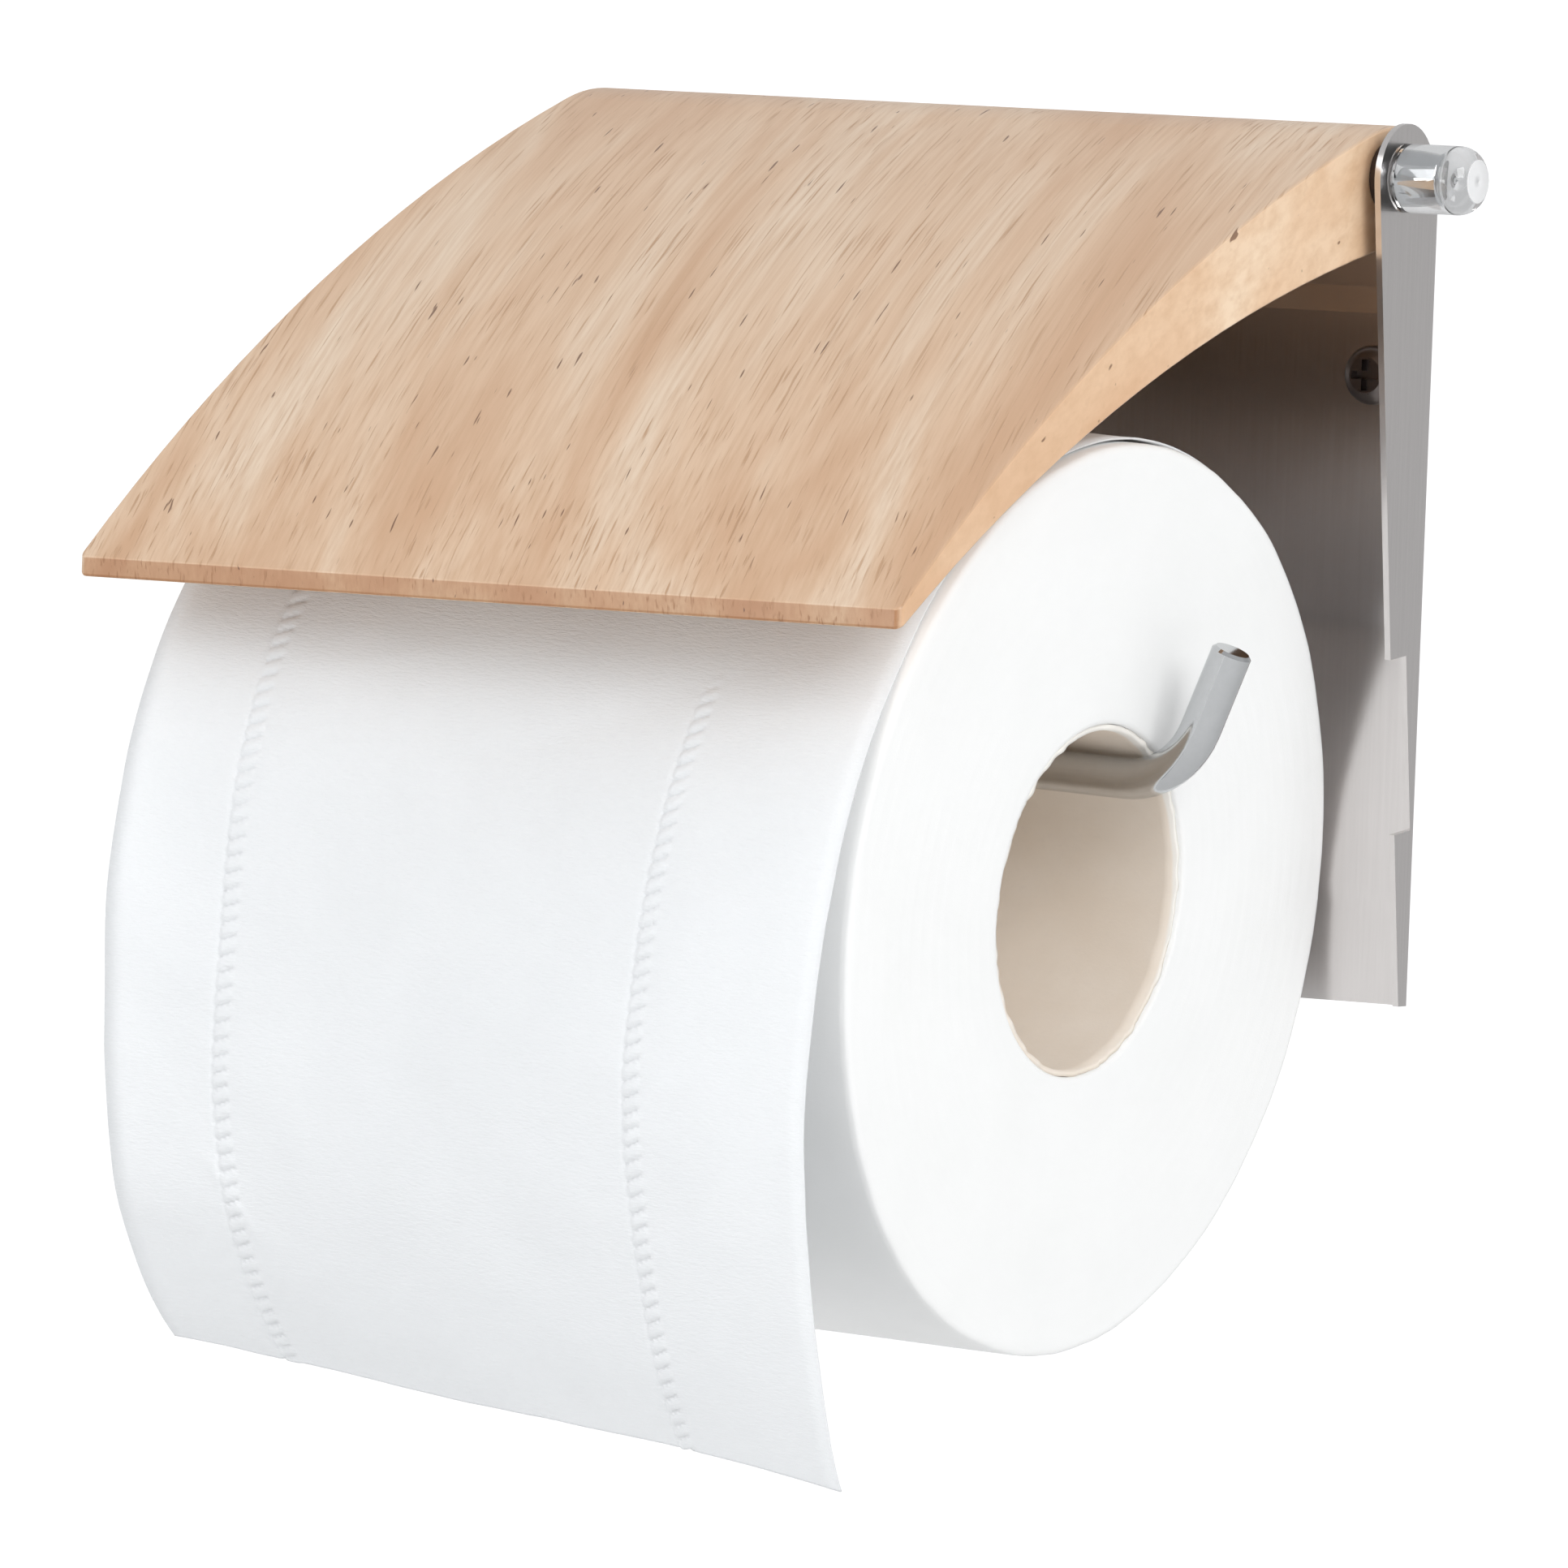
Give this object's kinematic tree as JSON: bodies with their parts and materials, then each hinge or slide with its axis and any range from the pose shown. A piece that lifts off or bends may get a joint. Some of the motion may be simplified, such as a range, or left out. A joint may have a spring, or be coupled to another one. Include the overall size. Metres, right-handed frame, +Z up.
{
  "type": "wall-mounted toilet tissue holder",
  "caption": "Wall holder for a toilet tissue roll: stainless back plate, wooden lid hinged on a rod between its ears, and a wire arm that the roll slides on to.",
  "frame": {"origin": "midway between the two wall screws, on the wall", "axes": "+X along the hinge and the roll towards the arm's free end, -Y out of the wall, +Z up; the wall is the plane Y = 0"},
  "size_m": [0.1331, 0.1307, 0.1601],
  "materials": {
    "stainless_sheet": "satin",
    "lid_wood": "satin",
    "bright_rod": "polished",
    "clear_plastic": "gloss",
    "washer_rubber": "matte",
    "screw_steel": "satin",
    "bright_wire": "polished",
    "weld_steel": "matte",
    "core_card": "matte",
    "tissue": "matte",
    "loose_tissue": "matte"
  },
  "bodies": {
    "root": {"back_plate": "stainless_sheet", "hinge_rod": "bright_rod", "rod_cap": "clear_plastic", "lid_washer_left": "washer_rubber", "lid_washer_right": "washer_rubber", "wall_screw_left": "screw_steel", "wall_screw_right": "screw_steel", "roll_arm": "bright_wire", "arm_weld": "weld_steel", "loose_sheet": "loose_tissue"},
    "lid": {"lid": "lid_wood"},
    "roll": {"roll_core": "core_card", "paper_roll": "tissue"}
  },
  "joints": [
    {"name": "lid_hinge", "type": "hinge", "parent": "root", "child": "lid", "pos_m": [0, -0.009, 0.0243], "axis": [-1, 0, 0], "range_deg": [0, 110]},
    {"name": "roll_spin", "type": "hinge", "parent": "root", "child": "roll", "pos_m": [-0.0015, -0.0573, -0.06073], "axis": [0.9993, 0, -0.0384], "continuous": true}
  ]
}
